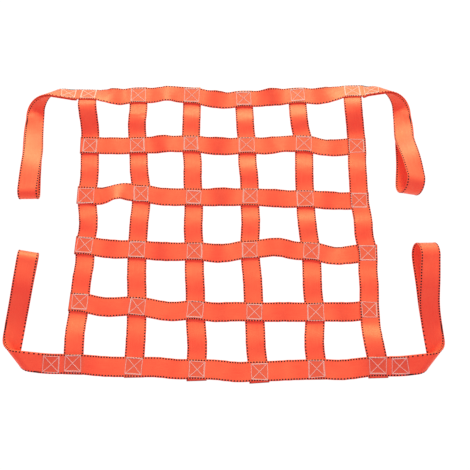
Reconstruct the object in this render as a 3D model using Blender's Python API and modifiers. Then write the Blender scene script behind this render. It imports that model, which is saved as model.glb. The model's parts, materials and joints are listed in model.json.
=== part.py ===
"""Cargo lifting net: a square net of flat webbing, lying spread out, with a loop at each corner.

Six cross straps, left to right, lie over six long straps, near to far. The nearest and the
farthest cross straps run on past the net at both ends. There each one folds under itself,
makes a lifting loop and comes back to be sewn under its own start.

Metres, +Z up, the near side toward -Y. The origin is on the ground, under the middle of the
outline with its loops. Lines of webbing have two coordinates: `along` the strap, and
`across` it from one edge to the other.
"""
from collections import namedtuple
from functools import partial
from math import atan, cos, pi, radians, sin, tan

import bmesh
import bpy
from mathutils import Vector

MM = 0.001
NET_NAME = "cargo_lifting_net"

# Webbing
STRAP_WIDTH = 50 * MM
STRAP_THICKNESS = 3 * MM
HALF_WIDTH = STRAP_WIDTH / 2
SEWN_GAP = 0.3 * MM
DOUBLED_GAP = 0.8 * MM
LAYER = STRAP_THICKNESS + SEWN_GAP
DOUBLED_LAYER = STRAP_THICKNESS + DOUBLED_GAP

# Net. A rolled strap's lower edge is held a little off the ground.
STRAPS = 6
LAST = STRAPS - 1
PITCH = 150 * MM
FLAT_REACH = 30 * MM
LOW_EDGE_REACH = HALF_WIDTH + 4 * MM
OUTLINE_MIDDLE = (3 * MM, -5 * MM)

# How far each crossing lies from the even grid, in millimetres. There is one line for each
# cross strap, from the near one, and one value for each long strap, from the left.
SHIFT_RIGHT = (
    (4, 5, 10, 15, 10, 11),
    (8, 5, 5, 5, 10, -1),
    (13, 0, 0, -5, 5, 3),
    (9, 5, -5, -5, -5, -11),
    (8, -10, -15, -10, -5, -10),
    (-2, -15, -15, -20, -20, -18),
)
SHIFT_FAR = (
    (7, 0, -5, -10, -5, 1),
    (13, 3, -7, -12, -12, -7),
    (13, 3, -2, 3, -2, -7),
    (3, 8, -2, -2, -7, -12),
    (-2, -2, 3, -2, 3, -4),
    (-6, -1, -1, -11, -2, 6),
)

# How each cross strap lies in the gaps between its crossings, from the left. It sways this
# far toward the far side, leans further in the first half of a gap and less in the second,
# and arches this high, in millimetres.
CROSS_SWAY = (
    (-3, 0, -2, 0, -5),
    (-8, -8, -3, 0, -3),
    (-5, -4, -9, 3, -11),
    (1, -7, -2, -4, -4),
    (-4, -2, -9, -4, -11),
    (-8, -1, -12, -4, -11),
)
CROSS_LEAN = (
    (0, 2, 2, 0, -1),
    (-1, 1, -2, 0, 1),
    (0, 0, 0, 3, -2),
    (-6, -1, 0, 1, 0),
    (0, 0, 0, -2, -2),
    (0, -3, 1, 0, 0),
)
CROSS_ARCH = (
    (6, 8, 6, 8, 6),
    (4, 5, 6, 5, 5),
    (4, 6, 4, 14, 5),
    (12, 5, 8, 6, 5),
    (5, 8, 9, 6, 5),
    (6, 10, 10, 10, 6),
)

# How far each cross strap tips toward the near side in a gap, with its far edge up, and how
# much further in the first half of the gap than in the second, in degrees
CROSS_TIP = (
    (0, 0, 0, 0, 0),
    (4, 0, 10, 10, 12),
    (12, 14, 7, 5, -9),
    (-20, 2, 18, 9, 8),
    (2, 9, 18, 0, 0),
    (7, -9, 16, 20, 9),
)
CROSS_TWIST = (
    (0, 0, 0, 0, 0),
    (0, 0, 4, 2, 0),
    (0, 6, 6, 0, 0),
    (1, 0, 0, 4, 8),
    (0, 10, 2, 8, -4),
    (-10, 0, 4, -6, 5),
)

# The sway, lean and arch of each long strap, from the near end, with its sway to the right
LONG_SWAY = (
    (-1, 2, 7, 4, 2),
    (2, 0, 0, -2, -1),
    (3, 0, -2, 2, 1),
    (-2, 2, 3, -1, -1),
    (-5, -3, -3, -2, -5),
    (-5, -1, -2, -2, -3),
)
LONG_LEAN = (
    (1, -2, 1, 1, 0),
    (0, 0, 0, -1, -2),
    (1, 1, -1, -2, 0),
    (-1, 0, 0, 2, -1),
    (-1, -1, 0, 0, -1),
    (-1, 2, -3, 1, 2),
)
LONG_ARCH = (
    (4, 5, 6, 5, 0),
    (4, 5, 7, 5, 8),
    (5, 6, 5, 4, 7),
    (5, 4, 6, 8, 6),
    (5, 6, 8, 7, 8),
    (6, 5, 6, 5, 4),
)

# The loop straps lift their inner edges, in degrees at each long strap from the left.
NEAR_ROLL = (13, 3, 0, 0, 4, 15)
FAR_ROLL = (31, 5, 0, 0, 4, 24)

# How far the near end of each long strap shows past the near loop strap, in millimetres
LONG_END_SHOWS = (0, 0, 3, 3, 0, 3)

# The loops. The strap rolls, climbs and swings inward before it folds, in degrees. The fold
# is a curl of this radius, at this distance from the crossing, about a line at this angle
# to the strap, and it turns the strap this far under itself. The loop runs on from it for
# this length, and by its end it has swung out, risen and twisted by these degrees. Its eye
# is this high. Lengths are in millimetres.
Corner = namedtuple("Corner", "roll climb swing fold angle radius turn length out rise twist eye")
CORNERS = {
    ("near", "left"): Corner(16, 20, 5, 118, 45, 16, 178, 210, 0, 0, 6, 40),
    ("near", "right"): Corner(16, 20, 5, 109, 45, 16, 178, 226, 9, 0, 26, 60),
    ("far", "left"): Corner(34, 20, 0, 79, 47, 28, 155, 250, 1, -8, 34, 36),
    ("far", "right"): Corner(36, 18, 0, 71, 46, 28, 155, 238, 3, -8, 50, 62),
}
RETURN_END = 29 * MM
SLANT_BEFORE_FOLD = 45 * MM
SLANT_AFTER_FOLD = 60 * MM
EYE_STARTS_AFTER_FOLD = 20 * MM

# How finely the straps are divided
GAP_STEPS = 7
FOLD_STEPS = 8
LOOP_STEPS = 10
BEND_STEPS = 9
WALK_STEP = 2 * MM

WEBBING_ORANGE = (1.0, 0.14, 0.05, 1.0)
WEBBING_ROUGHNESS = 0.75

Frame = namedtuple("Frame", "along origin forward side normal")


def smooth(share):
    """Ease from 0 to 1."""
    share = min(max(share, 0.0), 1.0)
    return share * share * (3 - 2 * share)


def hump(share):
    """Rise from 0 to 1 and fall back to 0."""
    return sin(pi * min(max(share, 0.0), 1.0)) ** 2


def swing(share):
    """Go to one side in the first half and to the other in the second."""
    share = min(max(share, 0.0), 1.0)
    return sin(2 * pi * share) * sin(pi * share)


def mix(start, end, share):
    return start + (end - start) * share


def hermite(start, end, start_slope, end_slope, share):
    """A cubic from start to end, with its slopes given for the whole stretch."""
    square = share * share
    cube = square * share
    return (
        (2 * cube - 3 * square + 1) * start
        + (cube - 2 * square + share) * start_slope
        + (3 * square - 2 * cube) * end
        + (cube - square) * end_slope
    )


def crossing(row, column):
    """Where a cross strap and a long strap are sewn together, on the ground."""
    middle = LAST / 2
    x = (column - middle) * PITCH + SHIFT_RIGHT[row][column] * MM
    y = (row - middle) * PITCH + SHIFT_FAR[row][column] * MM
    return x, y


def roll_at(row, column):
    """How far the loop strap is rolled at a crossing. Plain cross straps are level."""
    if row == 0:
        return radians(NEAR_ROLL[column])
    if row == LAST:
        return radians(FAR_ROLL[column])
    return 0.0


def slope_at(row, column):
    """Rise of a crossing's plane toward the far side. The edge toward the net is high."""
    steepness = tan(roll_at(row, column))
    return -steepness if row == LAST else steepness


def cross_strap_is_over(row, column):
    """The last long strap lies over the four plain cross straps, and under the loop straps."""
    return column != LAST or row in (0, LAST)


def height_at(row, column, is_over):
    """Height of a strap's middle at a crossing, with the lower strap on the ground."""
    roll = roll_at(row, column)
    lower = STRAP_THICKNESS / 2 + LOW_EDGE_REACH * sin(roll)
    return lower + LAYER / cos(roll) if is_over else lower


def gap_number(stops, place):
    """Which stretch between crossings a place is in. The ends belong to the outer ones."""
    inner = [stop for stop in stops[1:-1] if stop <= place]
    return len(inner)


def gap_share(stops, gap, place):
    """How far a place is through a gap, between the flat parts at its crossings."""
    start = stops[gap] + FLAT_REACH
    return min(max((place - start) / (stops[gap + 1] - FLAT_REACH - start), 0.0), 1.0)


def middle_line(stops, offsets, sways, leans, place, ends_straight):
    """Sideways place of a strap's middle, on a smooth line through its crossings."""
    slopes = [
        (offsets[i + 1] - offsets[i - 1]) / (stops[i + 1] - stops[i - 1])
        for i in range(1, len(stops) - 1)
    ]
    if ends_straight:
        first_slope, last_slope = 0.0, 0.0
    else:
        first_slope, last_slope = slopes[0], slopes[-1]
    slopes = [first_slope, *slopes, last_slope]
    if place <= stops[0]:
        return offsets[0] + first_slope * (place - stops[0])
    if place >= stops[-1]:
        return offsets[-1] + last_slope * (place - stops[-1])
    gap = gap_number(stops, place)
    span = stops[gap + 1] - stops[gap]
    share = (place - stops[gap]) / span
    line = hermite(offsets[gap], offsets[gap + 1], slopes[gap] * span, slopes[gap + 1] * span, share)
    return line + sways[gap] * MM * hump(share) + leans[gap] * MM * swing(share)


def line_angle(line, place):
    """Direction of a line at a place, from two places close by."""
    reach = 1 * MM
    return atan((line(place + reach) - line(place - reach)) / (2 * reach))


def stations(stops, first_end, last_end):
    """Places along a strap where its shape is set: its ends, its flats and its gaps."""
    places = [first_end]
    for gap in range(len(stops) - 1):
        start = stops[gap] + FLAT_REACH
        end = stops[gap + 1] - FLAT_REACH
        places += [mix(start, end, step / GAP_STEPS) for step in range(GAP_STEPS + 1)]
    places.append(last_end)
    return places


def cross_strap_point(row, x, across):
    """A point of a cross strap. Across runs toward the far side, or from it on the far strap."""
    crossings = [crossing(row, column) for column in range(STRAPS)]
    stops = [place[0] for place in crossings]
    offsets = [place[1] for place in crossings]
    gap = gap_number(stops, x)
    gap_place = gap_share(stops, gap, x)
    share = smooth(gap_place)
    line = partial(
        middle_line, stops, offsets, CROSS_SWAY[row], CROSS_LEAN[row], ends_straight=row in (0, LAST)
    )
    angle = line_angle(line, x)
    inward = -1 if row == LAST else 1
    rolls = (roll_at(row, gap), roll_at(row, gap + 1))
    roll_share = 1 - (1 - gap_place) ** 3 if rolls[0] > rolls[1] else gap_place ** 3
    roll = inward * mix(*rolls, roll_share)
    tip = radians(CROSS_TIP[row][gap] * hump(gap_place) + CROSS_TWIST[row][gap] * swing(gap_place))
    side = inward * across * cos(roll + tip)
    y = line(x) + side * cos(angle)
    middle_heights = [height_at(row, c, cross_strap_is_over(row, c)) for c in (gap, gap + 1)]
    height = mix(*middle_heights, share) + CROSS_ARCH[row][gap] * MM * hump(gap_place)
    # The crossings' own slope is taken about a line that is level with the nearest crossings.
    level_line = mix(offsets[gap], offsets[gap + 1], share)
    height += tan(roll) * (line(x) - level_line) + tan(roll + tip) * (y - line(x))
    return Vector((x - side * sin(angle), y, height))


def long_strap_height(column, stops, y):
    """Height of a long strap's middle, which follows the planes of its crossings."""
    gap = gap_number(stops, y)
    is_over = [not cross_strap_is_over(row, column) for row in (gap, gap + 1)]
    heights = [height_at(row, column, over) for row, over in zip((gap, gap + 1), is_over)]
    slopes = [slope_at(row, column) for row in (gap, gap + 1)]
    share = gap_share(stops, gap, y)
    if share <= 0.0:
        return heights[0] + slopes[0] * (y - stops[gap])
    if share >= 1.0:
        return heights[1] + slopes[1] * (y - stops[gap + 1])
    span = stops[gap + 1] - stops[gap] - 2 * FLAT_REACH
    return hermite(
        heights[0] + slopes[0] * FLAT_REACH,
        heights[1] - slopes[1] * FLAT_REACH,
        slopes[0] * span,
        slopes[1] * span,
        share,
    ) + LONG_ARCH[column][gap] * MM * hump(share)


def long_strap_point(column, stops, offsets, y, across):
    """A point of a long strap. Across runs from its left edge to its right edge."""
    line = partial(middle_line, stops, offsets, LONG_SWAY[column], LONG_LEAN[column], ends_straight=False)
    angle = line_angle(line, y)
    gap = gap_number(stops, y)
    slope = mix(slope_at(gap, column), slope_at(gap + 1, column), gap_share(stops, gap, y))
    further = -across * sin(angle)
    height = long_strap_height(column, stops, y) + slope * further
    return Vector((line(y) + across * cos(angle), y + further, height))


class LoopEnd:
    """The doubled strap beyond a corner crossing: its rise, its fold and its loop.

    It is worked out in the corner's own directions: x outward along the strap, y inward to
    the net's middle, z up. `off` is the distance off the main layer's middle, above it
    before the fold and below it after.
    """

    def __init__(self, near_or_far, left_or_right):
        shape = CORNERS[near_or_far, left_or_right]
        row = 0 if near_or_far == "near" else LAST
        column = 0 if left_or_right == "left" else LAST
        self.corner = crossing(row, column)
        self.outward = -1 if column == 0 else 1
        self.inward = 1 if row == 0 else -1
        self.angle = radians(shape.angle)
        self.slant = 1 / tan(self.angle)
        self.radius = shape.radius * MM
        self.turn = radians(shape.turn)
        self.fold = shape.fold * MM
        self.fold_end = self.fold + self.turn * self.radius / sin(self.angle)
        self.bend = self.fold_end + shape.length * MM
        self.eye_radius = shape.eye * MM / 2
        self.rise_frames = self.walk_to_fold(shape, roll_at(row, column), height_at(row, column, True))
        self.set_fold(self.rise_frames[-1])
        self.loop_frames = self.walk_round_loop(shape)

    def walk_to_fold(self, shape, first_roll, height):
        """Frames from the crossing to where the strap lies in the fold's plane."""
        end = self.fold - HALF_WIDTH * self.slant
        steps = round(end / WALK_STEP)
        length = end / steps
        origin = Vector((0, 0, height))
        frames = []
        for step in range(steps + 1):
            share = smooth((step * length - FLAT_REACH) / (end - FLAT_REACH))
            roll = mix(first_roll, radians(shape.roll), share)
            climb = radians(shape.climb) * share
            swing = radians(shape.swing) * share
            forward = Vector((cos(climb) * cos(swing), cos(climb) * sin(swing), sin(climb)))
            level_side = Vector((-sin(swing), cos(swing), 0))
            side = level_side * cos(roll) + forward.cross(level_side) * sin(roll)
            frames.append(Frame(step * length, origin, forward, side, forward.cross(side)))
            origin = origin + forward * length
        return frames

    def set_fold(self, frame):
        """The fold's line, and the directions before and after it."""
        self.fold_middle = frame.origin + frame.forward * (self.fold - frame.along)
        self.plane_normal = frame.normal
        self.fold_line = cos(self.angle) * frame.forward + sin(self.angle) * frame.side
        self.over_fold = sin(self.angle) * frame.forward - cos(self.angle) * frame.side
        back = cos(self.turn) * self.over_fold - sin(self.turn) * self.plane_normal
        self.loop_forward = cos(self.angle) * self.fold_line + sin(self.angle) * back
        self.loop_side = sin(self.angle) * self.fold_line - cos(self.angle) * back

    def walk_round_loop(self, shape):
        """Frames from the fold to the loop's bend, turning a little at each step."""
        start = self.fold_end + HALF_WIDTH * self.slant
        steps = round((self.bend - start) / WALK_STEP)
        length = (self.bend - start) / steps
        rise, out, twist = (radians(degrees) / steps for degrees in (shape.rise, shape.out, shape.twist))
        forward, side = self.loop_forward, self.loop_side
        origin = self.fold_point(self.fold_end, 0, 0) + forward * (start - self.fold_end)
        frames = []
        for step in range(steps + 1):
            normal = forward.cross(side)
            frames.append(Frame(start + step * length, origin, forward, side, normal))
            forward = (forward - normal * rise + side * out).normalized()
            side = side - forward * side.dot(forward) + normal * twist
            side = (side - forward * side.dot(forward)).normalized()
            origin = origin + forward * length
        return frames

    def fold_point(self, along, across, off):
        """A point in the fold's plane, round its curl, or past it."""
        ahead = (along - self.fold) * sin(self.angle) - across * cos(self.angle)
        beside = (along - self.fold) * cos(self.angle) + across * sin(self.angle)
        turned = min(max(ahead / self.radius, 0.0), self.turn)
        straight = ahead - turned * self.radius
        reach = (self.radius + off) * sin(turned) + straight * cos(turned)
        drop = self.radius + straight * sin(turned) - (self.radius + off) * cos(turned)
        return (
            self.fold_middle
            + self.fold_line * beside
            + self.over_fold * reach
            - self.plane_normal * drop
        )

    @staticmethod
    def frame_point(frames, along, across, off):
        """A point of the strap from the frames on either side of it."""
        length = frames[1].along - frames[0].along
        index = int((along - frames[0].along) / length) if along > frames[0].along else 0
        index = min(index, len(frames) - 2)
        share = (along - frames[index].along) / length
        if share < 0 or share > 1:
            frame = frames[0] if share < 0 else frames[-1]
            return frame.origin + frame.forward * (along - frame.along) + frame.side * across + frame.normal * off
        before, after = frames[index], frames[index + 1]
        return (
            before.origin.lerp(after.origin, share)
            + before.side.lerp(after.side, share) * across
            + before.normal.lerp(after.normal, share) * off
        )

    def strap_point(self, along, across, off):
        ahead = (along - self.fold) * sin(self.angle) - across * cos(self.angle)
        if ahead < 0:
            return self.frame_point(self.rise_frames, along, across, off)
        if ahead <= self.turn * self.radius:
            return self.fold_point(along, across, off)
        return self.frame_point(self.loop_frames, along, across, off)

    def line_point(self, station, off, across):
        """A point on a line across the strap, slanted so that it lies along the fold."""
        if station < self.fold:
            share = smooth(1 - (self.fold - station) / SLANT_BEFORE_FOLD)
        else:
            share = smooth(1 - (station - self.fold_end) / SLANT_AFTER_FOLD)
        point = self.strap_point(station + across * self.slant * share, across, off)
        x, y = self.corner
        return Vector((x + self.outward * point.x, y + self.inward * point.y, point.z))

    def lines(self):
        """Lines across the strap: out along its main layer, round the bend, and back."""
        spans = ((FLAT_REACH, self.fold, FOLD_STEPS), (self.fold, self.fold_end, FOLD_STEPS))
        spans += ((self.fold_end, self.bend, LOOP_STEPS),)
        places = [mix(start, end, step / steps) for start, end, steps in spans for step in range(steps)]
        places.append(self.bend)
        eye_start = self.fold_end + EYE_STARTS_AFTER_FOLD
        middle = -DOUBLED_LAYER / 2
        out_lines, back_lines = [], []
        for place in places:
            share = smooth((place - eye_start) / (self.bend - eye_start))
            half_gap = mix(DOUBLED_LAYER / 2, self.eye_radius, share)
            out_lines.append(partial(self.line_point, place, middle + half_gap))
            back_lines.append(partial(self.line_point, place, middle - half_gap))
        bend_lines = []
        for step in range(1, BEND_STEPS):
            turned = pi * step / BEND_STEPS
            place = self.bend + self.eye_radius * sin(turned)
            bend_lines.append(partial(self.line_point, place, middle + self.eye_radius * cos(turned)))
        back_lines[0] = partial(self.line_point, RETURN_END, -DOUBLED_LAYER)
        return out_lines[1:] + bend_lines + back_lines[::-1]


def webbing_material():
    material = bpy.data.materials.new("orange_webbing")
    material.use_nodes = True
    shader = material.node_tree.nodes["Principled BSDF"]
    shader.inputs["Base Color"].default_value = WEBBING_ORANGE
    shader.inputs["Roughness"].default_value = WEBBING_ROUGHNESS
    shader.inputs["Metallic"].default_value = 0.0
    material.diffuse_color = WEBBING_ORANGE
    return material


def make_strap(name, lines, net, material):
    """A strap of webbing through its lines, each a function of the place across it."""
    grid = bmesh.new()
    bmesh.ops.create_grid(grid, x_segments=len(lines) - 1, y_segments=1, size=0.5)
    for corner in grid.verts:
        line = lines[round((corner.co.x + 0.5) * (len(lines) - 1))]
        corner.co = line(corner.co.y * STRAP_WIDTH)
    mesh = bpy.data.meshes.new(name)
    grid.to_mesh(mesh)
    grid.free()
    mesh.materials.append(material)
    strap = bpy.data.objects.new(name, mesh)
    thickness = strap.modifiers.new("Webbing", "SOLIDIFY")
    thickness.thickness = STRAP_THICKNESS
    thickness.offset = 0.0
    thickness.use_even_offset = True
    strap.parent = net
    net.users_collection[0].objects.link(strap)
    return strap


def make_long_strap(column, net, material):
    crossings = [crossing(row, column) for row in range(STRAPS)]
    stops = [place[1] for place in crossings]
    offsets = [place[0] for place in crossings]
    near_end = stops[0] - HALF_WIDTH * cos(roll_at(0, column)) - LONG_END_SHOWS[column] * MM
    far_end = stops[-1] + HALF_WIDTH * cos(roll_at(LAST, column))
    places = stations(stops, near_end, far_end)
    lines = [partial(long_strap_point, column, stops, offsets, place) for place in places]
    return make_strap(f"long_strap_{column + 1}", lines, net, material)


def make_cross_strap(row, net, material):
    stops = [crossing(row, column)[0] for column in range(STRAPS)]
    left_end = stops[0] - HALF_WIDTH
    right_end = stops[-1] + HALF_WIDTH
    lines = [partial(cross_strap_point, row, place) for place in stations(stops, left_end, right_end)]
    return make_strap(f"cross_strap_{row + 1}", lines, net, material)


def make_loop_strap(row, net, material):
    """The nearest or the farthest cross strap, in one piece with its two loops."""
    name = "near" if row == 0 else "far"
    stops = [crossing(row, column)[0] for column in range(STRAPS)]
    places = stations(stops, stops[0] - FLAT_REACH, stops[-1] + FLAT_REACH)
    left_lines = LoopEnd(name, "left").lines()
    right_lines = LoopEnd(name, "right").lines()
    net_lines = [partial(cross_strap_point, row, place) for place in places]
    return make_strap(f"{name}_loop_strap", left_lines[::-1] + net_lines + right_lines, net, material)


def clear_scene():
    for old in list(bpy.data.objects):
        bpy.data.objects.remove(old, do_unlink=True)


def main():
    clear_scene()
    collection = bpy.data.collections.new(NET_NAME)
    bpy.context.scene.collection.children.link(collection)
    net = bpy.data.objects.new(NET_NAME, None)
    net.location = (-OUTLINE_MIDDLE[0], -OUTLINE_MIDDLE[1], 0)
    collection.objects.link(net)
    material = webbing_material()
    for column in range(STRAPS):
        make_long_strap(column, net, material)
    for row in range(1, LAST):
        make_cross_strap(row, net, material)
    for row in (0, LAST):
        make_loop_strap(row, net, material)


main()
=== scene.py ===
"""Looks of the cargo lifting net: woven straps, dotted tracer threads and sewn boxes.

Metres, +Z up, the near side toward -Y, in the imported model's frame. Six cross straps run left
to right and six long straps near to far. A point of webbing has two coordinates: `along` the
strap, and `across` it from one edge to the other.
"""
import json
from collections import namedtuple
from functools import partial
from math import atan, cos, pi, radians, sin, tan

import bpy
import numpy as np
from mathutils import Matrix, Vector

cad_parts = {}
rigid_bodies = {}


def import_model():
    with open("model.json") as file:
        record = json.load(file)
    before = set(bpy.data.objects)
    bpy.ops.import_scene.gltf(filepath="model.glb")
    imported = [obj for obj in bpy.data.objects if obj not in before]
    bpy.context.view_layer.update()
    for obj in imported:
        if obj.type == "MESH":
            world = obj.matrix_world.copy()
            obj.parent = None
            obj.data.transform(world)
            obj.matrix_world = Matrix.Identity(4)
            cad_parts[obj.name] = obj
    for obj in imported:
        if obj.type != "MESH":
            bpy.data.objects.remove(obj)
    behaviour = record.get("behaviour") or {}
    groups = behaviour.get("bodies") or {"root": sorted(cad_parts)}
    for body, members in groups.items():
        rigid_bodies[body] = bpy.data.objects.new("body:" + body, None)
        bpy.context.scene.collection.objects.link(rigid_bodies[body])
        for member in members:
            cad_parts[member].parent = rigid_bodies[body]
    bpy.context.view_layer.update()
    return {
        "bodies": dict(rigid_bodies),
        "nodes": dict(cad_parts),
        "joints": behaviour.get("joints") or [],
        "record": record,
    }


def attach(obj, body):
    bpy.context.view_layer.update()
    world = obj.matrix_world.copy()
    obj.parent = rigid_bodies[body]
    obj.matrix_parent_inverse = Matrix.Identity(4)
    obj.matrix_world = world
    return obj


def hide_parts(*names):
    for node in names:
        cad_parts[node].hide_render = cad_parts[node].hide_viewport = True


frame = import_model()

MM = 0.001
BODY = "root"

# Webbing
STRAP_WIDTH = 50 * MM
STRAP_THICKNESS = 3 * MM
HALF_WIDTH = STRAP_WIDTH / 2
SEWN_GAP = 0.3 * MM
DOUBLED_GAP = 0.8 * MM
LAYER = STRAP_THICKNESS + SEWN_GAP
DOUBLED_LAYER = STRAP_THICKNESS + DOUBLED_GAP

# Net. A rolled strap's lower edge is held a little off the ground.
STRAPS = 6
LAST = STRAPS - 1
PITCH = 150 * MM
FLAT_REACH = 30 * MM
LOW_EDGE_REACH = HALF_WIDTH + 4 * MM
OUTLINE_MIDDLE = (3 * MM, -5 * MM)

# How far each crossing lies from the even grid, in millimetres. There is one line for each
# cross strap, from the near one, and one value for each long strap, from the left.
SHIFT_RIGHT = (
    (4, 5, 10, 15, 10, 11),
    (8, 5, 5, 5, 10, -1),
    (13, 0, 0, -5, 5, 3),
    (9, 5, -5, -5, -5, -11),
    (8, -10, -15, -10, -5, -10),
    (-2, -15, -15, -20, -20, -18),
)
SHIFT_FAR = (
    (7, 0, -5, -10, -5, 1),
    (13, 3, -7, -12, -12, -7),
    (13, 3, -2, 3, -2, -7),
    (3, 8, -2, -2, -7, -12),
    (-2, -2, 3, -2, 3, -4),
    (-6, -1, -1, -11, -2, 6),
)

# How each cross strap lies in the gaps between its crossings, from the left. It sways this
# far toward the far side, leans further in the first half of a gap and less in the second,
# and arches this high, in millimetres.
CROSS_SWAY = (
    (-3, 0, -2, 0, -5),
    (-8, -8, -3, 0, -3),
    (-5, -4, -9, 3, -11),
    (1, -7, -2, -4, -4),
    (-4, -2, -9, -4, -11),
    (-8, -1, -12, -4, -11),
)
CROSS_LEAN = (
    (0, 2, 2, 0, -1),
    (-1, 1, -2, 0, 1),
    (0, 0, 0, 3, -2),
    (-6, -1, 0, 1, 0),
    (0, 0, 0, -2, -2),
    (0, -3, 1, 0, 0),
)
CROSS_ARCH = (
    (6, 8, 6, 8, 6),
    (4, 5, 6, 5, 5),
    (4, 6, 4, 14, 5),
    (12, 5, 8, 6, 5),
    (5, 8, 9, 6, 5),
    (6, 10, 10, 10, 6),
)

# How far each cross strap tips toward the near side in a gap, with its far edge up, and how
# much further in the first half of the gap than in the second, in degrees
CROSS_TIP = (
    (0, 0, 0, 0, 0),
    (4, 0, 10, 10, 12),
    (12, 14, 7, 5, -9),
    (-20, 2, 18, 9, 8),
    (2, 9, 18, 0, 0),
    (7, -9, 16, 20, 9),
)
CROSS_TWIST = (
    (0, 0, 0, 0, 0),
    (0, 0, 4, 2, 0),
    (0, 6, 6, 0, 0),
    (1, 0, 0, 4, 8),
    (0, 10, 2, 8, -4),
    (-10, 0, 4, -6, 5),
)

# The sway, lean and arch of each long strap, from the near end, with its sway to the right
LONG_SWAY = (
    (-1, 2, 7, 4, 2),
    (2, 0, 0, -2, -1),
    (3, 0, -2, 2, 1),
    (-2, 2, 3, -1, -1),
    (-5, -3, -3, -2, -5),
    (-5, -1, -2, -2, -3),
)
LONG_LEAN = (
    (1, -2, 1, 1, 0),
    (0, 0, 0, -1, -2),
    (1, 1, -1, -2, 0),
    (-1, 0, 0, 2, -1),
    (-1, -1, 0, 0, -1),
    (-1, 2, -3, 1, 2),
)
LONG_ARCH = (
    (4, 5, 6, 5, 0),
    (4, 5, 7, 5, 8),
    (5, 6, 5, 4, 7),
    (5, 4, 6, 8, 6),
    (5, 6, 8, 7, 8),
    (6, 5, 6, 5, 4),
)

# The loop straps lift their inner edges, in degrees at each long strap from the left.
NEAR_ROLL = (13, 3, 0, 0, 4, 15)
FAR_ROLL = (31, 5, 0, 0, 4, 24)

# How far the near end of each long strap shows past the near loop strap, in millimetres
LONG_END_SHOWS = (0, 0, 3, 3, 0, 3)

# The loops. The strap rolls, climbs and swings inward before it folds, in degrees. The fold
# is a curl of this radius, at this distance from the crossing, about a line at this angle
# to the strap, and it turns the strap this far under itself. The loop runs on from it for
# this length, and by its end it has swung out, risen and twisted by these degrees. Its eye
# is this high. Lengths are in millimetres.
Corner = namedtuple("Corner", "roll climb swing fold angle radius turn length out rise twist eye")
CORNERS = {
    ("near", "left"): Corner(16, 20, 5, 118, 45, 16, 178, 210, 0, 0, 6, 40),
    ("near", "right"): Corner(16, 20, 5, 109, 45, 16, 178, 226, 9, 0, 26, 60),
    ("far", "left"): Corner(34, 20, 0, 79, 47, 28, 155, 250, 1, -8, 34, 36),
    ("far", "right"): Corner(36, 18, 0, 71, 46, 28, 155, 238, 3, -8, 50, 62),
}

# The loop's returning layer ends this far from the crossing. Lines across the strap turn to lie
# along the fold within these distances of it. The eye starts to open a little past the fold.
RETURN_END = 29 * MM
SLANT_BEFORE_FOLD = 45 * MM
SLANT_AFTER_FOLD = 60 * MM
EYE_STARTS_AFTER_FOLD = 20 * MM
LOOP_WAVE = 8 * MM

# How finely the straps are divided
FLAT_STEPS = 12
GAP_STEPS = 24
FOLD_STEPS = 28
LOOP_STEPS = 56
BEND_STEPS = 27
ACROSS_STEPS = 12
WALK_STEP = 2 * MM
SMALL_STEP = 1 * MM

# Selvedges and cut ends of the webbing
EDGE_RADIUS = 1.5 * MM
EDGE_ANGLES = tuple(radians(degrees) for degrees in (55, 0, -55))
CUT_RIM = 1.5 * MM
CUT_ROUND = 0.7 * MM
CUT_THINNESS = 0.5

# Small ripples of the webbing in the gaps
RIPPLE_HEIGHT = 0.45 * MM
RIPPLE_LENGTHS = (41 * MM, 23 * MM)
RIPPLE_PHASES = (1.0, 2.3)
SHORT_RIPPLE_SHARE = 0.6
CROWN_SHARE = 0.8
SELVEDGE_WAVER = 0.3 * MM
SELVEDGE_WAVER_LENGTH = 27 * MM
SELVEDGE_WAVER_PHASE = 3.1

# The ripples' phase for each kind of strap, at the first row or column, and its step to the next
LONG_PHASES = (0.0, 1.7)
CROSS_PHASES = (0.5, 2.1)
LOOP_PHASES = (1.0, 1.0)

# Shallow creases across a strap, each at a distance from its first end, in millimetres, and
# with a slant
CREASES = {
    "long_strap_2": ((716, 0.05),),
    "cross_strap_4": ((62, -0.5),),
}
CREASE_HEIGHT = 0.7 * MM
CREASE_REACH = 4 * MM

# Tracer threads along both edges of a strap
TRACER_FROM_EDGE = 2.9 * MM
TRACER_PITCH = 7 * MM
TRACER_LENGTH = 4.1 * MM
TRACER_WIDTH = 3.6 * MM
TRACER_HEIGHT = 0.35 * MM
TRACER_SINK = 0.1 * MM

# Sewn boxes, each a square with a cross in it. The sewing draws the webbing in, where it lies
# level enough.
BOX_HALF = 20 * MM
BOX_REACH = 22 * MM
BOX_FADE = 1 * MM
OUTER_BOX_ALONG = 54 * MM
SEWN_THINNESS = 0.86
LEVEL_ENOUGH = 0.5
STITCH_PITCH = 3.3 * MM
STITCH_LENGTH = 3.2 * MM
STITCH_WIDTH = 1.6 * MM
STITCH_HEIGHT = 0.6 * MM
STITCH_SINK = 0.15 * MM
SECOND_PASS = 1.6 * MM
SECOND_SIDE_CHANCE = 0.5

# The hand that sewed the boxes: how far they wander from the crossings, the least and most of
# their size, the stray of their corners, seams and stitches, and the turn of a box and of a
# stitch in radians
BOX_WANDER = 2 * MM
BOX_SEED = 7
SEWING_SEED = 20
BOX_SIZES = (0.94, 1.03)
CORNER_STRAY = 1.2 * MM
SEAM_BOW = 0.6 * MM
STITCH_STRAY = 0.12 * MM
BOX_TURN = 0.02
STITCH_TURN = 0.06

# Corners of a square round its middle, in order
SQUARE = ((-1, -1), (1, -1), (1, 1), (-1, 1))

# A raised thread: the place of each of its sections, as a share of its length, the section's
# share of the width, and whether it is on top of the cloth or dives into it
THREAD_SECTIONS = ((-0.5, 0.7, False), (-0.38, 1.0, True), (0.38, 1.0, True), (0.5, 0.7, False))
THREAD_TOP_SHARE = 0.75

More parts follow.
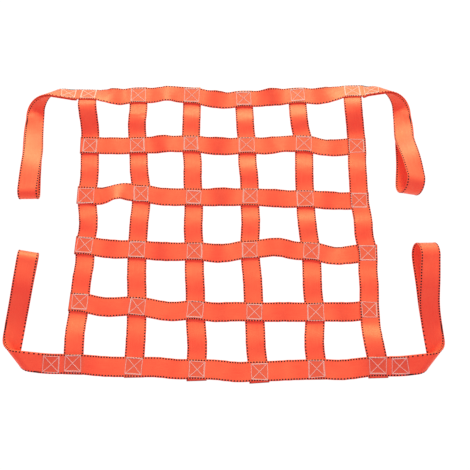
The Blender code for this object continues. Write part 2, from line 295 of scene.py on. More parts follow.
# Colours
WEBBING_ORANGE = (1.0, 0.132, 0.06, 1)
WEBBING_DEEP = (0.97, 0.095, 0.045, 1)
WEBBING_LIGHT = (1.0, 0.18, 0.072, 1)
# Painted shade over the sewn boxes, as if their drawn-in weave were shaded
SEWN_BOX_SHADE = (0.6, 0.11, 0.06, 1)
# Painted shade: a darker red for the weave's grooves and for a band along both selvedges
PAINTED_SHADE_RED = (0.75, 0.04, 0.016, 1)
CUT_BROWN = (0.20, 0.02, 0.010, 1)
TRACER_BLACK = (0.012, 0.008, 0.008, 1)
THREAD_WHITE = (0.95, 0.60, 0.50, 1)
FLOOR_GREY = (0.04, 0.04, 0.04, 1)
WHITE = (1.0, 1.0, 1.0, 1)

# How strongly each of these colours the webbing, and how far from its middle the painted shade along the
# edges starts
LIGHT_PATCH_SHARE = 0.6
GROOVE_SHADE_SHARE = 0.35
SEWN_SHADE_SHARE = 0.5
SELVEDGE_SHADE_SHARE = 0.75
CUT_SHARE = 0.9
SELVEDGE_SHADE_STARTS = 23.8 * MM

# Weave
RIB_PITCH = 1.25 * MM
TWILL_PITCH = 2.2 * MM
TWILL_BAND = 6.25 * MM
WEAVE_DEPTH = 0.12 * MM
FIBRE_DEPTH = 0.1 * MM
RIB_SHARE, TWILL_SHARE = 0.5, 0.5
RAISED_WEAVE, RAISED_FUZZ = 0.8, 0.4
GROOVE_RANGE = (-1.0, -0.2)
CUT_SMOOTHNESS = 0.25

# Noise textures. Their values lie mostly in this range. Streaks are drawn out along the strap.
NOISE_RANGE = (0.3, 0.7)
STREAK_SCALE = 900
STREAK_STRETCH = (1, 0.03, 1)
PATCH_SCALE = 14
PATCH_RANGE = (0.35, 0.75)
FUZZ_SCALE = 1400
FIBRE_SCALE = 2600

# Studio. The floor glows white. The back light is greenish and the surround rosy, so webbing
# that slopes away from the camera looks golden, and webbing that slopes toward it red.
FLOOR_REACH = 6.0
FLOOR_DEPTH = 0.4 * MM
FLOOR_GLOW = 1.0
Light = namedtuple("Light", "name place size power colour")
LIGHTS = (
    Light("back_light", (0.3, 4.6, 2.3), 2.0, 340, (0.5, 1.0, 0.66)),
    Light("top_light", (-0.6, -0.3, 3.2), 2.4, 10, WHITE[:3]),
)
SURROUND_ROSE = (1.0, 0.5, 0.72, 1)
SURROUND_STRENGTH = 0.8

# The photograph's camera
CAMERA_PLACE = (28.2 * MM, -502.4 * MM, 1655.8 * MM)
CAMERA_ELEVATION = radians(73.975)
CAMERA_LENS = 50
CAMERA_SENSOR = 36

Frame = namedtuple("Frame", "along origin forward side normal")


def smooth(share):
    """Ease from 0 to 1."""
    share = min(max(share, 0.0), 1.0)
    return share * share * (3 - 2 * share)


def hump(share):
    """Rise from 0 to 1 and fall back to 0."""
    return sin(pi * min(max(share, 0.0), 1.0)) ** 2


def swing(share):
    """Go to one side in the first half and to the other in the second."""
    share = min(max(share, 0.0), 1.0)
    return sin(2 * pi * share) * sin(pi * share)


def mix(start, end, share):
    return start + (end - start) * share


def hermite(start, end, start_slope, end_slope, share):
    """A cubic from start to end, with its slopes given for the whole stretch."""
    square = share * share
    cube = square * share
    return (
        (2 * cube - 3 * square + 1) * start
        + (cube - 2 * square + share) * start_slope
        + (3 * square - 2 * cube) * end
        + (cube - square) * end_slope
    )


def crossing(row, column):
    """Where the middles of a cross strap and a long strap cross, seen from above."""
    middle = LAST / 2
    x = (column - middle) * PITCH + SHIFT_RIGHT[row][column] * MM
    y = (row - middle) * PITCH + SHIFT_FAR[row][column] * MM
    return x, y


def box_place(row, column):
    """Where a crossing's box is sewn, a little off the crossing."""
    random = np.random.default_rng(BOX_SEED + row * STRAPS + column)
    x, y = crossing(row, column)
    return x + random.uniform(-BOX_WANDER, BOX_WANDER), y + random.uniform(-BOX_WANDER, BOX_WANDER)


def roll_at(row, column):
    """How far the loop strap is rolled at a crossing. Plain cross straps are level."""
    if row == 0:
        return radians(NEAR_ROLL[column])
    if row == LAST:
        return radians(FAR_ROLL[column])
    return 0.0


def slope_at(row, column):
    """Rise of a crossing's plane toward the far side. The edge toward the net is high."""
    steepness = tan(roll_at(row, column))
    return -steepness if row == LAST else steepness


def cross_strap_is_over(row, column):
    """The last long strap lies over the four plain cross straps, and under the loop straps."""
    return column != LAST or row in (0, LAST)


def height_at(row, column, is_over):
    """Height of a strap's middle at a crossing, with the lower strap on the ground."""
    roll = roll_at(row, column)
    lower = STRAP_THICKNESS / 2 + LOW_EDGE_REACH * sin(roll)
    return lower + LAYER / cos(roll) if is_over else lower


def gap_number(stops, place):
    """Which stretch between crossings a place is in. The ends belong to the outer ones."""
    inner = [stop for stop in stops[1:-1] if stop <= place]
    return len(inner)


def gap_share(stops, gap, place):
    """How far a place is through a gap, between the flat parts at its crossings."""
    start = stops[gap] + FLAT_REACH
    return min(max((place - start) / (stops[gap + 1] - FLAT_REACH - start), 0.0), 1.0)


def middle_line(stops, offsets, sways, leans, place, ends_straight):
    """Sideways place of a strap's middle, on a smooth line through its crossings."""
    slopes = [
        (offsets[i + 1] - offsets[i - 1]) / (stops[i + 1] - stops[i - 1])
        for i in range(1, len(stops) - 1)
    ]
    if ends_straight:
        first_slope, last_slope = 0.0, 0.0
    else:
        first_slope, last_slope = slopes[0], slopes[-1]
    slopes = [first_slope, *slopes, last_slope]
    if place <= stops[0]:
        return offsets[0] + first_slope * (place - stops[0])
    if place >= stops[-1]:
        return offsets[-1] + last_slope * (place - stops[-1])
    gap = gap_number(stops, place)
    span = stops[gap + 1] - stops[gap]
    share = (place - stops[gap]) / span
    line = hermite(offsets[gap], offsets[gap + 1], slopes[gap] * span, slopes[gap + 1] * span, share)
    return line + sways[gap] * MM * hump(share) + leans[gap] * MM * swing(share)


def line_angle(line, place):
    """Direction of a line at a place, from two places close by."""
    return atan((line(place + SMALL_STEP) - line(place - SMALL_STEP)) / (2 * SMALL_STEP))


def stations(stops, first_end, last_end):
    """Places along a strap where its shape is set: its ends, its flats and its gaps."""
    bounds = [first_end]
    steps = [FLAT_STEPS // 2]
    for gap in range(len(stops) - 1):
        bounds += [stops[gap] + FLAT_REACH, stops[gap + 1] - FLAT_REACH]
        steps += [GAP_STEPS, FLAT_STEPS]
    bounds.append(last_end)
    steps[-1] = FLAT_STEPS // 2
    places = [
        mix(start, end, step / count)
        for start, end, count in zip(bounds, bounds[1:], steps)
        for step in range(count)
    ]
    return places + [last_end]


def row_crossings(row):
    """The x of each crossing of a cross strap, and the y of each."""
    return zip(*(crossing(row, column) for column in range(STRAPS)))


def cross_strap_line(row):
    """The sideways line of a cross strap's middle, as a function of x."""
    stops, offsets = row_crossings(row)
    sways, leans = CROSS_SWAY[row], CROSS_LEAN[row]
    return partial(middle_line, stops, offsets, sways, leans, ends_straight=row in (0, LAST))


def cross_strap_point(row, x, across):
    """A point of a cross strap. Across runs toward the far side, or from it on the far strap."""
    stops, offsets = row_crossings(row)
    gap = gap_number(stops, x)
    gap_place = gap_share(stops, gap, x)
    share = smooth(gap_place)
    line = cross_strap_line(row)
    angle = line_angle(line, x)
    inward = -1 if row == LAST else 1
    # The roll fades quickly beside the crossing that is rolled further.
    rolls = (roll_at(row, gap), roll_at(row, gap + 1))
    roll_share = 1 - (1 - gap_place) ** 3 if rolls[0] > rolls[1] else gap_place ** 3
    roll = inward * mix(*rolls, roll_share)
    tip = radians(CROSS_TIP[row][gap] * hump(gap_place) + CROSS_TWIST[row][gap] * swing(gap_place))
    side = inward * across * cos(roll + tip)
    y = line(x) + side * cos(angle)
    middle_heights = [height_at(row, c, cross_strap_is_over(row, c)) for c in (gap, gap + 1)]
    height = mix(*middle_heights, share) + CROSS_ARCH[row][gap] * MM * hump(gap_place)
    # The crossings' own slope is taken about a line that is level with the nearest crossings.
    level_line = mix(offsets[gap], offsets[gap + 1], share)
    height += tan(roll) * (line(x) - level_line) + tan(roll + tip) * (y - line(x))
    return Vector((x - side * sin(angle), y, height))


def long_strap_height(column, stops, y):
    """Height of a long strap's middle, which follows the planes of its crossings."""
    gap = gap_number(stops, y)
    rows = (gap, gap + 1)
    heights = [height_at(row, column, not cross_strap_is_over(row, column)) for row in rows]
    slopes = [slope_at(row, column) for row in rows]
    share = gap_share(stops, gap, y)
    if share <= 0.0:
        return heights[0] + slopes[0] * (y - stops[gap])
    if share >= 1.0:
        return heights[1] + slopes[1] * (y - stops[gap + 1])
    span = stops[gap + 1] - stops[gap] - 2 * FLAT_REACH
    return hermite(
        heights[0] + slopes[0] * FLAT_REACH,
        heights[1] - slopes[1] * FLAT_REACH,
        slopes[0] * span,
        slopes[1] * span,
        share,
    ) + LONG_ARCH[column][gap] * MM * hump(share)


def long_strap_point(column, stops, offsets, y, across):
    """A point of a long strap. Across runs from its left edge to its right edge."""
    line = partial(middle_line, stops, offsets, LONG_SWAY[column], LONG_LEAN[column], ends_straight=False)
    angle = line_angle(line, y)
    gap = gap_number(stops, y)
    slope = mix(slope_at(gap, column), slope_at(gap + 1, column), gap_share(stops, gap, y))
    further = -across * sin(angle)
    height = long_strap_height(column, stops, y) + slope * further
    return Vector((line(y) + across * cos(angle), y + further, height))


class LoopEnd:
    """The doubled strap beyond a corner crossing: its rise, its fold and its loop.

    It is worked out in the corner's own directions: x outward along the strap, y inward to
    the net's middle, z up. `off` is the distance off the main layer's middle, above it
    before the fold and below it after.
    """

    def __init__(self, near_or_far, left_or_right):
        shape = CORNERS[near_or_far, left_or_right]
        row = 0 if near_or_far == "near" else LAST
        column = 0 if left_or_right == "left" else LAST
        self.corner = crossing(row, column)
        self.outward = -1 if column == 0 else 1
        self.inward = 1 if row == 0 else -1
        self.angle = radians(shape.angle)
        self.slant = 1 / tan(self.angle)
        self.radius = shape.radius * MM
        self.turn = radians(shape.turn)
        self.fold = shape.fold * MM
        self.fold_end = self.fold + self.turn * self.radius / sin(self.angle)
        self.bend = self.fold_end + shape.length * MM
        self.eye_radius = shape.eye * MM / 2
        self.rise_frames = self.walk_to_fold(shape, roll_at(row, column), height_at(row, column, True))
        self.set_fold(self.rise_frames[-1])
        self.loop_frames = self.walk_round_loop(shape)

    def walk_to_fold(self, shape, first_roll, height):
        """Frames from the crossing to where the strap lies in the fold's plane."""
        end = self.fold - HALF_WIDTH * self.slant
        steps = round(end / WALK_STEP)
        length = end / steps
        origin = Vector((0, 0, height))
        frames = []
        for step in range(steps + 1):
            share = smooth((step * length - FLAT_REACH) / (end - FLAT_REACH))
            roll = mix(first_roll, radians(shape.roll), share)
            climb = radians(shape.climb) * share
            turn_in = radians(shape.swing) * share
            forward = Vector((cos(climb) * cos(turn_in), cos(climb) * sin(turn_in), sin(climb)))
            level_side = Vector((-sin(turn_in), cos(turn_in), 0))
            side = level_side * cos(roll) + forward.cross(level_side) * sin(roll)
            frames.append(Frame(step * length, origin, forward, side, forward.cross(side)))
            origin = origin + forward * length
        return frames

    def set_fold(self, frame):
        """The fold's line, and the directions before and after it."""
        self.fold_middle = frame.origin + frame.forward * (self.fold - frame.along)
        self.plane_normal = frame.normal
        self.fold_line = cos(self.angle) * frame.forward + sin(self.angle) * frame.side
        self.over_fold = sin(self.angle) * frame.forward - cos(self.angle) * frame.side
        back = cos(self.turn) * self.over_fold - sin(self.turn) * self.plane_normal
        self.loop_forward = cos(self.angle) * self.fold_line + sin(self.angle) * back
        self.loop_side = sin(self.angle) * self.fold_line - cos(self.angle) * back

    def walk_round_loop(self, shape):
        """Frames from the fold to the loop's bend, turning a little at each step."""
        start = self.fold_end + HALF_WIDTH * self.slant
        steps = round((self.bend - start) / WALK_STEP)
        length = (self.bend - start) / steps
        rise, out, twist = (radians(degrees) / steps for degrees in (shape.rise, shape.out, shape.twist))
        forward, side = self.loop_forward, self.loop_side
        origin = self.fold_point(self.fold_end, 0, 0) + forward * (start - self.fold_end)
        frames = []
        for step in range(steps + 1):
            normal = forward.cross(side)
            frames.append(Frame(start + step * length, origin, forward, side, normal))
            forward = (forward - normal * rise + side * out).normalized()
            side = side - forward * side.dot(forward) + normal * twist
            side = (side - forward * side.dot(forward)).normalized()
            origin = origin + forward * length
        return frames

    def fold_point(self, along, across, off):
        """A point in the fold's plane, round its curl, or past it."""
        ahead = (along - self.fold) * sin(self.angle) - across * cos(self.angle)
        beside = (along - self.fold) * cos(self.angle) + across * sin(self.angle)
        turned = min(max(ahead / self.radius, 0.0), self.turn)
        straight = ahead - turned * self.radius
        reach = (self.radius + off) * sin(turned) + straight * cos(turned)
        drop = self.radius + straight * sin(turned) - (self.radius + off) * cos(turned)
        return (
            self.fold_middle
            + self.fold_line * beside
            + self.over_fold * reach
            - self.plane_normal * drop
        )

    @staticmethod
    def frame_point(frames, along, across, off):
        """A point of the strap from the frames on either side of it."""
        length = frames[1].along - frames[0].along
        index = int((along - frames[0].along) / length) if along > frames[0].along else 0
        index = min(index, len(frames) - 2)
        share = (along - frames[index].along) / length
        if share < 0 or share > 1:
            frame = frames[0] if share < 0 else frames[-1]
            ahead = frame.forward * (along - frame.along)
            return frame.origin + ahead + frame.side * across + frame.normal * off
        before, after = frames[index], frames[index + 1]
        return (
            before.origin.lerp(after.origin, share)
            + before.side.lerp(after.side, share) * across
            + before.normal.lerp(after.normal, share) * off
        )

    def strap_point(self, along, across, off):
        ahead = (along - self.fold) * sin(self.angle) - across * cos(self.angle)
        if ahead < 0:
            return self.frame_point(self.rise_frames, along, across, off)
        if ahead <= self.turn * self.radius:
            return self.fold_point(along, across, off)
        return self.frame_point(self.loop_frames, along, across, off)

    def world_point(self, along, across, off):
        """A point of the strap in the crossing grid's frame."""
        point = self.strap_point(along, across, off)
        x, y = self.corner
        return Vector((x + self.outward * point.x, y + self.inward * point.y, point.z))

    def line_point(self, station, off, across):
        """A point on a line across the strap, slanted so that it lies along the fold."""
        if station < self.fold:
            share = smooth(1 - (self.fold - station) / SLANT_BEFORE_FOLD)
        else:
            share = smooth(1 - (station - self.fold_end) / SLANT_AFTER_FOLD)
        return self.world_point(station + across * self.slant * share, across, off)

    def lines(self):
        """Lines across the strap: out along its main layer, round the bend, and back."""
        spans = ((FLAT_REACH, self.fold, FOLD_STEPS), (self.fold, self.fold_end, FOLD_STEPS))
        spans += ((self.fold_end, self.bend, LOOP_STEPS),)
        places = [mix(start, end, step / steps) for start, end, steps in spans for step in range(steps)]
        places.append(self.bend)
        eye_start = self.fold_end + EYE_STARTS_AFTER_FOLD
        out_lines, back_lines = [], []
        for place in places:
            share = smooth((place - eye_start) / (self.bend - eye_start))
            # Both layers sag a little past the fold and rise toward the bend.
            loop_share = (place - self.fold_end) / (self.bend - self.fold_end)
            middle = -DOUBLED_LAYER / 2 + LOOP_WAVE * swing(loop_share)
            half_gap = mix(DOUBLED_LAYER / 2, self.eye_radius, share)
            out_lines.append(partial(self.line_point, place, middle + half_gap))
            back_lines.append(partial(self.line_point, place, middle - half_gap))
        bend_lines = []
        for step in range(1, BEND_STEPS):
            turned = pi * step / BEND_STEPS
            place = self.bend + self.eye_radius * sin(turned)
            off = middle + self.eye_radius * cos(turned)
            bend_lines.append(partial(self.line_point, place, off))
        back_lines[0] = partial(self.line_point, RETURN_END, -DOUBLED_LAYER)
        return out_lines[1:] + bend_lines + back_lines[::-1]


def unit(vectors):
    return vectors / np.linalg.norm(vectors, axis=-1, keepdims=True)


def to_model(points):
    """From the crossing grid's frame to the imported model's."""
    return np.array(points, dtype=float) - (*OUTLINE_MIDDLE, 0)


def box_centres():
    """Places of all the sewn boxes on the ground, in the model's frame."""
    places = [(*box_place(row, column), 0) for row in range(STRAPS) for column in range(STRAPS)]
    for names in CORNERS:
        places.append(LoopEnd(*names).world_point(OUTER_BOX_ALONG, 0, 0))
    return to_model([tuple(place) for place in places])[:, :2]


def in_sewn_box(points, centres):
    """How far inside a sewn box each point lies, seen from above: 1 inside, 0 outside."""
    away = np.full(points.shape[:-1], np.inf)
    for centre in centres:
        away = np.minimum(away, np.abs(points[..., :2] - centre).max(axis=-1))
    return np.clip((BOX_REACH + BOX_FADE - away) / (2 * BOX_FADE), 0, 1)


class Webbing:
    """The middle surface of a strap: a grid of points with their strip coordinates."""

    def __init__(self, name, lines, ripples, centres, phase):
        self.name = name
        flat_half = HALF_WIDTH - EDGE_RADIUS
        self.across = np.linspace(-flat_half, flat_half, ACROSS_STEPS + 1)
        self.points = to_model([[tuple(line(across)) for across in self.across] for line in lines])
        self.measure()
        self.ripple(np.array(ripples), phase)
        for place, slant in CREASES.get(name, ()):
            self.crease(place * MM, slant)
        self.measure()
        is_level = np.abs(self.normals[..., 2]) > LEVEL_ENOUGH
        self.sewn = in_sewn_box(self.points, centres) * is_level
        self.half = STRAP_THICKNESS / 2 * (1 - (1 - SEWN_THINNESS) * self.sewn)

    def measure(self):
        """Distances along the middle, and the directions at each point."""
        middle = self.points[:, ACROSS_STEPS // 2]
        steps = np.linalg.norm(np.diff(middle, axis=0), axis=1)
        self.along = np.concatenate([[0.0], np.cumsum(steps)])
        self.forward = unit(np.gradient(self.points, self.along, axis=0))
        self.side = unit(np.gradient(self.points, axis=1))
        self.normals = unit(np.cross(self.side, self.forward))
        # The top face is the one that looks up in the middle of the strap.
        if self.normals[len(self.normals) // 2, 0, 2] < 0:
            self.normals = -self.normals

    def ripple(self, strengths, phase):
        """Small ripples in the gaps, strongest at the selvedges, with a slight crown."""
        along = self.along[:, None]
        share = (self.across / HALF_WIDTH)[None, :]
        long_wave, short_wave = (
            np.sin(2 * pi * along / length + phase * times)
            for length, times in zip(RIPPLE_LENGTHS, RIPPLE_PHASES)
        )
        lift = (
            share ** 2 * long_wave
            + SHORT_RIPPLE_SHARE * share * short_wave
            + CROWN_SHARE * (1 - share ** 2)
        )
        turned = 2 * pi * along / SELVEDGE_WAVER_LENGTH + phase * SELVEDGE_WAVER_PHASE
        waver = SELVEDGE_WAVER * share * np.sin(turned)
        strength = strengths[:, None]
        self.points = (
            self.points
            + self.normals * (RIPPLE_HEIGHT * strength * lift)[..., None]
            + self.side * (strength * waver)[..., None]
        )

    def crease(self, place, slant):
        """A shallow crease across the strap, left by an old fold."""
        away = self.along[:, None] - place - slant * self.across[None, :]
        lift = CREASE_HEIGHT * np.exp(-(away / CREASE_REACH) ** 2) * np.sign(away)
        self.points = self.points + self.normals * lift[..., None]

    def surface(self, along, across, face):
        """Points on a face of the strap, with their directions: forward, side and out."""
        row = np.clip(np.searchsorted(self.along, along) - 1, 0, len(self.along) - 2)
        row_share = (along - self.along[row]) / (self.along[row + 1] - self.along[row])
        step = self.across[1] - self.across[0]
        column = int((across - self.across[0]) / step)
        column_share = (across - self.across[column]) / step

        def read(values):
            before = mix(values[row, column], values[row, column + 1], column_share)
            after = mix(values[row + 1, column], values[row + 1, column + 1], column_share)
            share = row_share if values.ndim == 2 else row_share[:, None]
            return mix(before, after, share)

        out = unit(read(self.normals)) * face
        forward = unit(read(self.forward))
        points = read(self.points) + out * read(self.half)[:, None]
        return points, forward, unit(np.cross(out, forward)), out

    def profile(self):
        """Rings of points round the webbing: over its face, round its selvedges and under."""
        half = self.half[..., None]
        over = self.points + self.normals * half
        under = self.points - self.normals * half
        rounds = []
        for end, outward in ((-1, 1), (0, -1)):
            angles = EDGE_ANGLES if outward == 1 else EDGE_ANGLES[::-1]
            edge = [
                self.points[:, end]
                + self.side[:, end] * outward * EDGE_RADIUS * cos(angle)
                + self.normals[:, end] * half[:, end] * sin(angle)
                for angle in angles
            ]
            rounds.append(np.stack(edge, axis=1))
        rings = np.concatenate([over, rounds[0], under[:, ::-1], rounds[1]], axis=1)
        reach = [HALF_WIDTH - EDGE_RADIUS + EDGE_RADIUS * cos(angle) for angle in EDGE_ANGLES]
        across = np.concatenate([self.across, reach, self.across[::-1], [-place for place in reach]])
        return rings, across

    def cut_end(self, rings, end, forward):
        """Rings of a cut end, from the strap outward: before the cut, at it, and its thin tip."""
        step = self.forward[end, ACROSS_STEPS // 2] * forward
        line = self.points[end]
        edge_size = len(EDGE_ANGLES)
        middles = np.concatenate([
            line,
            np.repeat(line[-1:], edge_size, axis=0),
            line[::-1],
            np.repeat(line[:1], edge_size, axis=0),
        ])
        tip = mix(middles, rings[end], CUT_THINNESS) + step * CUT_ROUND
        return np.stack([rings[end] - step * CUT_RIM, rings[end], tip])

    def build(self):
        """The strap's mesh, with rounded selvedges and heat-cut ends."""
        rings, across = self.profile()
        count = self.sewn.shape[1]
        under_starts = count + len(EDGE_ANGLES)
        sewn = np.zeros(rings.shape[:2])
        sewn[:, :count] = self.sewn
        sewn[:, under_starts:under_starts + count] = self.sewn[:, ::-1]
        first, last = self.cut_end(rings, 0, -1)[::-1], self.cut_end(rings, -1, 1)
        outward = np.array([-CUT_RIM, 0, CUT_ROUND])
        rings = np.concatenate([first, rings[1:-1], last])
        along = np.concatenate([-outward[::-1], self.along[1:-1], self.along[-1] + outward])
        cut = np.concatenate([[1, 1, 0], np.zeros(len(self.along) - 2), [0, 1, 1]])
        sewn = np.concatenate([sewn[[0, 0, 0]], sewn[1:-1], sewn[[-1, -1, -1]]])
        return self.make_object(rings, across, along, cut, sewn)

    def make_object(self, rings, across, along, cut, sewn):
        """Skin the rings and close both ends. The strip's own coordinates go in its UV map."""
        ring_count, ring_size = rings.shape[:2]
        faces = [
            [(ring, place), (ring, after), (ring + 1, after), (ring + 1, place)]
            for ring in range(ring_count - 1)
            for place, after in zip(range(ring_size), [*range(1, ring_size), 0])
        ]
        faces.append([(0, place) for place in reversed(range(ring_size))])
        faces.append([(ring_count - 1, place) for place in range(ring_size)])
        numbered = [[ring * ring_size + place for ring, place in face] for face in faces]
        mesh = bpy.data.meshes.new(self.name)
        mesh.from_pydata(rings.reshape(-1, 3).tolist(), [], numbered)
        strip = [(across[place], along[ring]) for face in faces for ring, place in face]
        mesh.uv_layers.new(name="Strip").data.foreach_set("uv", np.ravel(strip))
        for label, values in (("Cut", np.repeat(cut, ring_size)), ("Sewn", sewn.ravel())):
            mesh.attributes.new(label, "FLOAT", "POINT").data.foreach_set("value", values)
        mesh.shade_smooth()
        mesh.validate()
        strap = add_object(f"{self.name}_webbing", mesh)
        make_normals_outward(mesh)
        return strap


def make_normals_outward(mesh):
    """Turn the faces round if the mesh is inside out."""
    mesh.calc_loop_triangles()
    corners = [mesh.vertices[i].co for triangle in mesh.loop_triangles for i in triangle.vertices]
    first, second, third = np.array(corners).reshape(-1, 3, 3).transpose(1, 0, 2)
    if np.einsum("ij,ij->i", first, np.cross(second, third)).sum() < 0:
        mesh.flip_normals()


def add_object(name, mesh):
    piece = bpy.data.objects.new(name, mesh)
    bpy.context.scene.collection.objects.link(piece)
    return piece


def relief(name, template, faces, centres, forward, side, out, material):
    """One mesh with a small raised shape at each centre. The template is along, across, up."""
    shapes = (
        centres[:, None]
        + forward[:, None] * template[None, :, :1]
        + side[:, None] * template[None, :, 1:2]
        + out[:, None] * template[None, :, 2:]
    )
    size = len(template)
    starts = np.arange(len(centres)) * size
    corners = (np.array(faces)[None] + starts[:, None, None]).reshape(-1, 4)
    mesh = bpy.data.meshes.new(name)
    mesh.from_pydata(shapes.reshape(-1, 3).tolist(), [], corners.tolist())
    mesh.shade_smooth()
    mesh.materials.append(material)
    piece = add_object(name, mesh)
    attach(piece, BODY)
    return piece


def thread_template(length, width, height, sink):
    """A short raised thread whose ends dive into the cloth: four sections of four points."""
    template = []
    for place, share, is_raised in THREAD_SECTIONS:
        half = width * share / 2
        top = height if is_raised else -sink
        top_half = half * THREAD_TOP_SHARE
        for across, up in ((-half, -sink), (-top_half, top), (top_half, top), (half, -sink)):
            template.append((place * length, across, up))
    size = len(template) // len(THREAD_SECTIONS)
    faces = []
    for section in range(len(THREAD_SECTIONS) - 1):
        for point in range(size - 1):
            first = section * size + point
            faces.append((first, first + size, first + size + 1, first + 1))
    return np.array(template), faces


def make_tracers(webbing, material):
    """Dark dotted threads near both selvedges, on both faces."""
    template, faces = thread_template(TRACER_LENGTH, TRACER_WIDTH, TRACER_HEIGHT, TRACER_SINK)
    places = np.arange(TRACER_PITCH / 2, webbing.along[-1] - TRACER_PITCH / 2, TRACER_PITCH)
    rows = []
    for face in (1, -1):
        for edge in (-1, 1):
            rows.append(webbing.surface(places, edge * (HALF_WIDTH - TRACER_FROM_EDGE), face))
    centres, forward, side, out = (np.concatenate(parts) for parts in zip(*rows))
    return relief(f"{webbing.name}_tracers", template, faces, centres, forward, side, out, material)


def box_seams(random):
    """The lines of one sewn box in its own plane, as pairs of ends."""
    half = BOX_HALF * random.uniform(*BOX_SIZES)
    stray = random.uniform(-CORNER_STRAY, CORNER_STRAY, (4, 2))
    corners = half * np.array(SQUARE) + stray
    seams = [(corners[i], corners[(i + 1) % 4]) for i in range(4)]
    seams += [(corners[0], corners[2]), (corners[1], corners[3])]
    # The sewing runs back over one or two sides.
    inset = corners * (1 - SECOND_PASS / half)
    first = int(random.integers(4))
    seams.append((inset[first], inset[(first + 1) % 4]))
    if random.random() < SECOND_SIDE_CHANCE:
        seams.append((inset[(first + 2) % 4], inset[(first + 3) % 4]))
    return seams


def seam_stitches(seams, random):
    """Middle and direction of each stitch of a box, in its own plane."""
    stitches = []
    for start, end in seams:
        length = np.linalg.norm(end - start)
        forward = (end - start) / length
        across = np.array([-forward[1], forward[0]])
        count = max(1, round(length / STITCH_PITCH))
        bow = random.uniform(-SEAM_BOW, SEAM_BOW)
        for place in (np.arange(count) + 0.5) / count:
            stray = bow * sin(pi * place) + random.normal(0, STITCH_STRAY)
            turn = random.normal(0, STITCH_TURN)
            middle = start + forward * length * place + across * stray
            stitches.append((middle, forward + across * turn))
    return stitches


def crossing_box(row, column, face, random):
    """Stitches of the box at a crossing, on its top or under it."""
    x, y = box_place(row, column)
    crossing_y = crossing(row, column)[1]
    slope = slope_at(row, column)
    right = np.array([1.0, 0.0, 0.0])
    far = unit(np.array([0.0, 1.0, slope]))
    out = np.cross(right, far)
    height = height_at(row, column, face == 1) + slope * (y - crossing_y)
    centre = to_model([x, y, height]) + out * face * STRAP_THICKNESS / 2 * SEWN_THINNESS
    angle = line_angle(cross_strap_line(row), x) + random.normal(0, BOX_TURN)
    box_right = right * cos(angle) + far * sin(angle)
    box_far = far * cos(angle) - right * sin(angle)
    found = []
    for place, forward in seam_stitches(box_seams(random), random):
        point = centre + box_right * place[0] + box_far * place[1]
        direction = unit(box_right * forward[0] + box_far * forward[1])
        found.append((point, direction, out * face))
    return found


def outer_box(names, face, random):
    """Stitches of the box that joins a loop's two layers, on its top or under it."""
    loop = LoopEnd(*names)
    skin = STRAP_THICKNESS / 2 * SEWN_THINNESS
    off = skin if face == 1 else -DOUBLED_LAYER - skin
    found = []
    for place, forward in seam_stitches(box_seams(random), random):
        along, across = OUTER_BOX_ALONG + place[0], place[1]
        step = forward * SMALL_STEP
        point = loop.world_point(along, across, off)
        ahead = loop.world_point(along + step[0], across + step[1], off)
        above = loop.world_point(along, across, off + face * SMALL_STEP)
        direction = unit(np.array(ahead - point))
        found.append((to_model(tuple(point)), direction, unit(np.array(above - point))))
    return found


def make_sewing(material):
    """All the sewn boxes, in one mesh for the top and one for the underside."""
    template, faces = thread_template(STITCH_LENGTH, STITCH_WIDTH, STITCH_HEIGHT, STITCH_SINK)
    for face, label in ((1, "top"), (-1, "underside")):
        random = np.random.default_rng(SEWING_SEED)
        stitches = []
        for row in range(STRAPS):
            for column in range(STRAPS):
                stitches += crossing_box(row, column, face, random)
        for names in CORNERS:
            stitches += outer_box(names, face, random)
        centres, forward, out = (np.array(part) for part in zip(*stitches))
        side = unit(np.cross(out, forward))
        relief(f"sewn_boxes_{label}", template, faces, centres, forward, side, out, material)


class Nodes:
    """A short way to write a material's nodes."""

    def __init__(self, name):
        self.material = bpy.data.materials.new(name)
        self.material.use_nodes = True
        self.tree = self.material.node_tree
        self.shader = self.tree.nodes["Principled BSDF"]

    def add(self, kind, inputs=(), **settings):
        node = self.tree.nodes.new(kind)
        for key, value in settings.items():
            setattr(node, key, value)
        for socket, value in dict(inputs).items():
            self.set(node.inputs[socket], value)
        return node

    def set(self, socket, value):
        if isinstance(value, bpy.types.NodeSocket):
            self.tree.links.new(value, socket)
        else:
            socket.default_value = value

    def shade(self, values):
        """Set inputs of the shader by their names."""
        for socket, value in values.items():
            self.set(self.shader.inputs[socket], value)
        return self.material

    def math(self, operation, *values):
        return self.add("ShaderNodeMath", enumerate(values), operation=operation).outputs[0]

    def remap(self, value, low, high, to_low, to_high):
        settings = {0: value, 1: low, 2: high, 3: to_low, 4: to_high}
        return self.add("ShaderNodeMapRange", settings).outputs[0]

    def stretch(self, noise, low=0, high=1):
        return self.remap(noise, *NOISE_RANGE, low, high)

    def noise(self, place, scale, detail=2.0):
        settings = {"Vector": place, "Scale": scale, "Detail": detail}
        return self.add("ShaderNodeTexNoise", settings).outputs["Fac"]

    def blend(self, share, first, second):
        node = self.add("ShaderNodeMix", data_type="RGBA")
        self.set(node.inputs["Factor"], share)
        self.set(node.inputs["A"], first)
        self.set(node.inputs["B"], second)
        return node.outputs["Result"]


